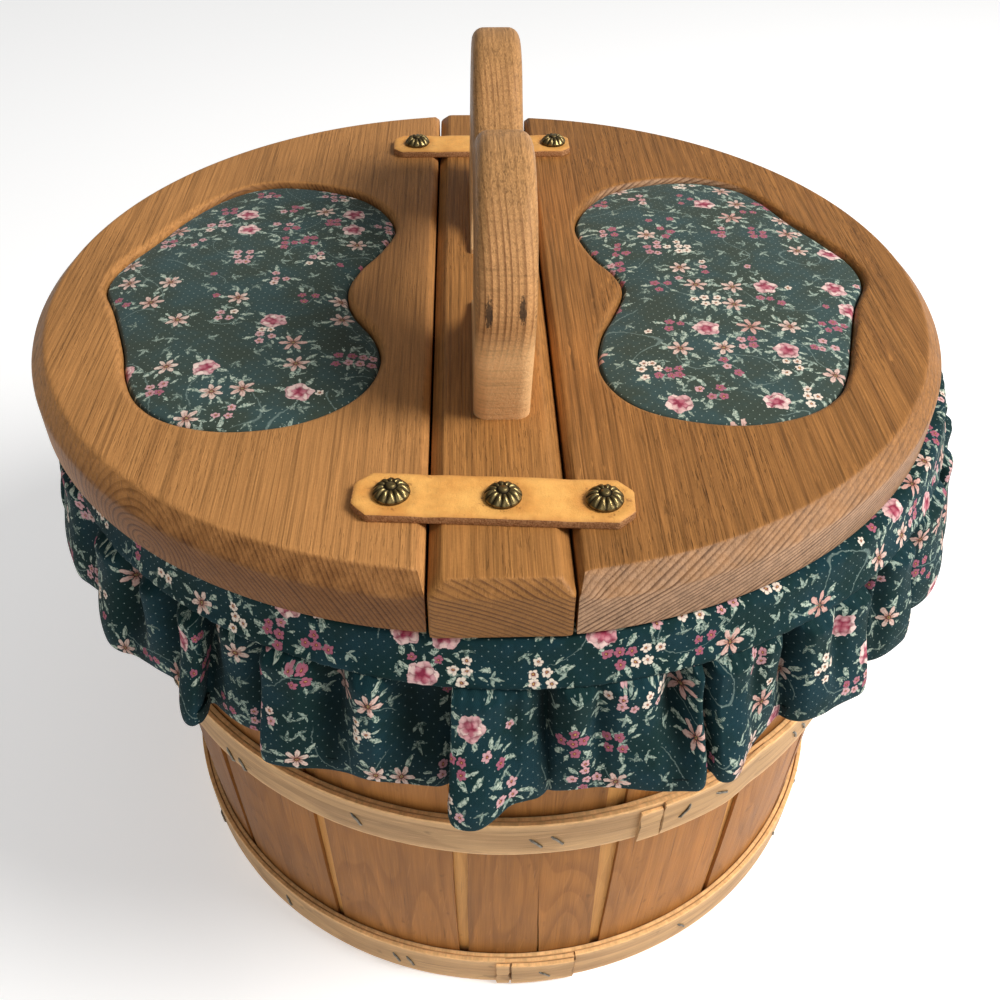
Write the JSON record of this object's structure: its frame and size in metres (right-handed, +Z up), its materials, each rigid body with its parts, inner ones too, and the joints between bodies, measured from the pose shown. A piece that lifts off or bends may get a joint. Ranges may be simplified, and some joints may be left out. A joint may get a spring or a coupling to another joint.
{
  "type": "sewing basket",
  "caption": "Round veneer sewing basket with a gathered calico skirt, a fixed bridge board with a two-humped handle, and half-moon lids with padded inserts on leather hinges.",
  "frame": {"origin": "the point on the floor under the centre of the whole object's bounding box, which is on the basket's own axis", "axes": "+Z up; the bridge board and its handle run along Y; the lids lie at -X and +X of the bridge and open up towards it; -Y is the front"},
  "size_m": [0.3668, 0.3668, 0.3311],
  "materials": {
    "base_wood": "bare sanded softwood, satin",
    "inner_veneer": "rough-cut veneer, stained, matt",
    "outer_veneer": "rough-cut veneer, stained brown, low sheen",
    "hoop_wood": "sawn hoop stock, lightly stained, low sheen",
    "bridge_wood": "stained softwood, satin",
    "left_lid_wood": "stained softwood, satin",
    "right_lid_wood": "stained softwood, satin",
    "handle_wood": "stained softwood, satin, worn edges",
    "cleat_wood": "bare softwood",
    "insert_plywood": "thin plywood, bare",
    "calico": "printed cotton, small scattered flowers on dark teal with pin dots",
    "elastic": "woven elastic, white",
    "strap_leather": "veg-tanned leather, natural tan",
    "tack_metal": "antiqued brass, dark in the recesses",
    "staple_wire": "dull galvanised wire",
    "screw_metal": "zinc plated, slightly yellow",
    "nail_metal": "bright steel"
  },
  "bodies": {
    "basket": {"base_board": "base_wood", "staves_inner": "inner_veneer", "staves_outer": "outer_veneer", "hoop_bottom": "hoop_wood", "hoop_middle": "hoop_wood", "hoop_rim_outer": "hoop_wood", "hoop_rim_inner": "hoop_wood", "staples_bottom": "staple_wire", "staples_middle": "staple_wire", "staples_rim": "staple_wire", "skirt_band": "calico", "skirt_ruffle": "calico", "skirt_elastic": "elastic", "centre_board": "bridge_wood", "cleat_front": "cleat_wood", "cleat_back": "cleat_wood", "cleat_screws": "screw_metal", "cleat_nails": "nail_metal", "handle": "handle_wood", "handle_screws": "screw_metal", "strap_front_middle": "strap_leather", "strap_back_middle": "strap_leather", "tack_front_centre": "tack_metal", "tack_back_centre": "tack_metal"},
    "left_lid": {"lid_left": "left_lid_wood", "insert_board_left": "insert_plywood", "pad_left": "calico", "strap_front_left": "strap_leather", "strap_back_left": "strap_leather", "tacks_left": "tack_metal"},
    "right_lid": {"lid_right": "right_lid_wood", "insert_board_right": "insert_plywood", "pad_right": "calico", "strap_front_right": "strap_leather", "strap_back_right": "strap_leather", "tacks_right": "tack_metal"}
  },
  "joints": [
    {"name": "left_lid_hinge", "type": "hinge", "parent": "basket", "child": "left_lid", "pos_m": [-0.0279, 0, 0.2575], "axis": [0, 1, 0], "range_deg": [0, 94]},
    {"name": "right_lid_hinge", "type": "hinge", "parent": "basket", "child": "right_lid", "pos_m": [0.0139, 0, 0.2575], "axis": [0, -1, 0], "range_deg": [0, 94]}
  ]
}
